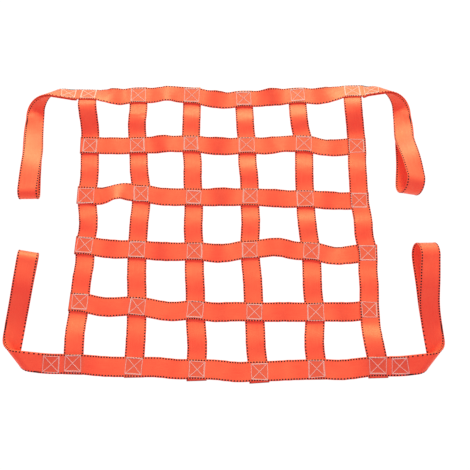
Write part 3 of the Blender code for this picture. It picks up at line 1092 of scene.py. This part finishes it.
def webbing_material():
    """Woven polyester: ribs along the strap, a small herringbone, yarn streaks and sheen, with painted
    shade in the grooves, at the selvedges and over the sewn boxes.
    """
    nodes = Nodes("orange_webbing")
    strip = nodes.add("ShaderNodeUVMap", uv_map="Strip").outputs["UV"]
    parts = nodes.add("ShaderNodeSeparateXYZ", {0: strip})
    across, along = parts.outputs[0], parts.outputs[1]
    ribs = nodes.math("SINE", nodes.math("MULTIPLY", across, 2 * pi / RIB_PITCH))
    slant = nodes.math("PINGPONG", across, TWILL_BAND)
    slanted = nodes.math("ADD", along, slant)
    twill = nodes.math("SINE", nodes.math("MULTIPLY", slanted, 2 * pi / TWILL_PITCH))
    ribs, twill = nodes.math("MULTIPLY", ribs, RIB_SHARE), nodes.math("MULTIPLY", twill, TWILL_SHARE)
    weave = nodes.math("ADD", ribs, twill)
    stretched = nodes.add("ShaderNodeMapping", {"Vector": strip, "Scale": STREAK_STRETCH}).outputs[0]
    streaks = nodes.noise(stretched, STREAK_SCALE)
    place = nodes.add("ShaderNodeTexCoord").outputs["Object"]
    patches = nodes.noise(place, PATCH_SCALE)
    fuzz = nodes.noise(place, FUZZ_SCALE, 1.0)
    sewn = nodes.add("ShaderNodeAttribute", attribute_name="Sewn").outputs["Fac"]
    cut = nodes.add("ShaderNodeAttribute", attribute_name="Cut").outputs["Fac"]
    light_patches = nodes.remap(patches, *PATCH_RANGE, 0, LIGHT_PATCH_SHARE)
    # Painted shade: the weave's grooves are drawn darker red, as if shaded.
    groove_shade = nodes.remap(weave, *GROOVE_RANGE, GROOVE_SHADE_SHARE, 0)
    from_middle = nodes.math("ABSOLUTE", across)
    # Painted shade: a darker red band along both selvedges, standing for their shaded sides.
    selvedge_shade = nodes.remap(from_middle, SELVEDGE_SHADE_STARTS, HALF_WIDTH, 0, SELVEDGE_SHADE_SHARE)
    colour = nodes.blend(nodes.stretch(streaks), WEBBING_DEEP, WEBBING_ORANGE)
    colour = nodes.blend(light_patches, colour, WEBBING_LIGHT)
    colour = nodes.blend(groove_shade, colour, PAINTED_SHADE_RED)
    # Painted shade: the sewn boxes are drawn darker and browner.
    colour = nodes.blend(nodes.math("MULTIPLY", sewn, SEWN_SHADE_SHARE), colour, SEWN_BOX_SHADE)
    colour = nodes.blend(selvedge_shade, colour, PAINTED_SHADE_RED)
    colour = nodes.blend(nodes.math("MULTIPLY", cut, CUT_SHARE), colour, CUT_BROWN)
    # The heat-cut ends are smoother.
    smoother = nodes.math("MULTIPLY", cut, CUT_SMOOTHNESS)
    raised_weave = nodes.math("MULTIPLY", weave, RAISED_WEAVE)
    height = nodes.math("ADD", raised_weave, nodes.math("MULTIPLY", fuzz, RAISED_FUZZ))
    bump = nodes.add("ShaderNodeBump", {"Height": height, "Distance": WEAVE_DEPTH, "Strength": 0.7})
    return nodes.shade({
        "Base Color": colour,
        "Roughness": nodes.math("SUBTRACT", nodes.stretch(fuzz, 0.42, 0.58), smoother),
        "Specular IOR Level": 0.6,
        "Specular Tint": (1.0, 0.7, 0.4, 1),
        "Sheen Weight": 0.25,
        "Sheen Roughness": 0.45,
        "Sheen Tint": (1.0, 0.35, 0.15, 1),
        "Normal": bump.outputs[0],
    })


def thread_material(name, colour, dark, sheen):
    """Spun thread: fine uneven fibres, matt with a little sheen."""
    nodes = Nodes(name)
    place = nodes.add("ShaderNodeTexCoord").outputs["Object"]
    fibres = nodes.noise(place, FIBRE_SCALE)
    shade = tuple(part * dark for part in colour[:3]) + (1,)
    bump = nodes.add("ShaderNodeBump", {"Height": fibres, "Distance": FIBRE_DEPTH, "Strength": 0.6})
    return nodes.shade({
        "Base Color": nodes.blend(nodes.stretch(fibres), shade, colour),
        "Roughness": nodes.stretch(fibres, 0.75, 0.55),
        "Specular IOR Level": 0.3,
        "Sheen Weight": sheen,
        "Normal": bump.outputs[0],
    })


def gap_ripples(stops, places):
    """Ripples only where a strap is clear of its crossings."""
    return [hump(gap_share(stops, gap_number(stops, place), place)) for place in places]


def long_webbing(column, centres):
    offsets, stops = zip(*(crossing(row, column) for row in range(STRAPS)))
    near_end = stops[0] - HALF_WIDTH * cos(roll_at(0, column)) - LONG_END_SHOWS[column] * MM
    far_end = stops[-1] + HALF_WIDTH * cos(roll_at(LAST, column))
    places = stations(stops, near_end, far_end)
    lines = [partial(long_strap_point, column, stops, offsets, place) for place in places]
    phase = LONG_PHASES[0] + column * LONG_PHASES[1]
    return Webbing(f"long_strap_{column + 1}", lines, gap_ripples(stops, places), centres, phase)


def cross_webbing(row, centres):
    stops, _ = row_crossings(row)
    places = stations(stops, stops[0] - HALF_WIDTH, stops[-1] + HALF_WIDTH)
    lines = [partial(cross_strap_point, row, place) for place in places]
    phase = CROSS_PHASES[0] + row * CROSS_PHASES[1]
    return Webbing(f"cross_strap_{row + 1}", lines, gap_ripples(stops, places), centres, phase)


def loop_webbing(row, centres):
    """The nearest or the farthest cross strap, in one piece with its two loops."""
    name = "near" if row == 0 else "far"
    stops, _ = row_crossings(row)
    places = stations(stops, stops[0] - FLAT_REACH, stops[-1] + FLAT_REACH)
    left_lines = LoopEnd(name, "left").lines()[::-1]
    right_lines = LoopEnd(name, "right").lines()
    net_lines = [partial(cross_strap_point, row, place) for place in places]
    ripples = [0.0] * len(left_lines) + gap_ripples(stops, places) + [0.0] * len(right_lines)
    lines = left_lines + net_lines + right_lines
    phase = LOOP_PHASES[0] + row * LOOP_PHASES[1]
    return Webbing(f"{name}_loop_strap", lines, ripples, centres, phase)


def make_net():
    """Every strap with its tracers, and the sewing that holds the net together."""
    centres = box_centres()
    straps = [long_webbing(column, centres) for column in range(STRAPS)]
    straps += [cross_webbing(row, centres) for row in range(1, LAST)]
    straps += [loop_webbing(row, centres) for row in (0, LAST)]
    webbing = webbing_material()
    tracer = thread_material("tracer_thread", TRACER_BLACK, dark=0.6, sheen=0.0)
    sewing_thread = thread_material("sewing_thread", THREAD_WHITE, dark=0.8, sheen=0.3)
    lower_straps = [f"long_strap_{column + 1}" for column in range(LAST)]
    plain_cross_straps = [f"cross_strap_{row + 1}" for row in range(1, LAST)]
    rests_on = {name: lower_straps for name in plain_cross_straps}
    rests_on["long_strap_6"] = plain_cross_straps
    for name in ("near_loop_strap", "far_loop_strap"):
        rests_on[name] = [*lower_straps, "long_strap_6"]
    for strap in straps:
        piece = strap.build()
        piece.data.materials.append(webbing)
        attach(piece, BODY)
        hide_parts(strap.name)
        tracers = make_tracers(strap, tracer)
    make_sewing(sewing_thread)


def make_floor():
    mesh = bpy.data.meshes.new("floor")
    points = [(x * FLOOR_REACH, y * FLOOR_REACH, -FLOOR_DEPTH) for x, y in SQUARE]
    mesh.from_pydata(points, [], [(0, 1, 2, 3)])
    floor = add_object("floor", mesh)
    mesh.materials.append(Nodes("pale_floor").shade({
        "Base Color": FLOOR_GREY,
        "Roughness": 0.9,
        "Specular IOR Level": 0.0,
        "Emission Color": WHITE,
        "Emission Strength": FLOOR_GLOW,
    }))


def make_light(name, place, size, power, colour):
    """A round area light, aimed at the net's middle."""
    light = bpy.data.lights.new(name, "AREA")
    light.shape = "DISK"
    light.size = size
    light.energy = power
    light.color = colour
    lamp = bpy.data.objects.new(name, light)
    lamp.location = place
    lamp.rotation_euler = (-Vector(place)).to_track_quat("-Z", "Y").to_euler()
    bpy.context.scene.collection.objects.link(lamp)


def make_studio():
    scene = bpy.context.scene
    make_floor()
    for light in LIGHTS:
        make_light(*light)
    world = scene.world or bpy.data.worlds.new("studio")
    scene.world = world
    world.use_nodes = True
    background = world.node_tree.nodes["Background"]
    background.inputs["Color"].default_value = SURROUND_ROSE
    background.inputs["Strength"].default_value = SURROUND_STRENGTH
    scene.view_settings.view_transform = "Standard"
    # With its guide passes filtered first, the denoiser smears the small dark tracers away.
    scene.cycles.denoising_prefilter = "NONE"


def make_camera():
    lens = bpy.data.cameras.new("camera")
    lens.lens = CAMERA_LENS
    lens.sensor_width = CAMERA_SENSOR
    camera = bpy.data.objects.new("camera", lens)
    camera.location = CAMERA_PLACE
    camera.rotation_euler = (pi / 2 - CAMERA_ELEVATION, 0, 0)
    bpy.context.scene.collection.objects.link(camera)
    bpy.context.scene.camera = camera


make_net()
make_studio()
make_camera()
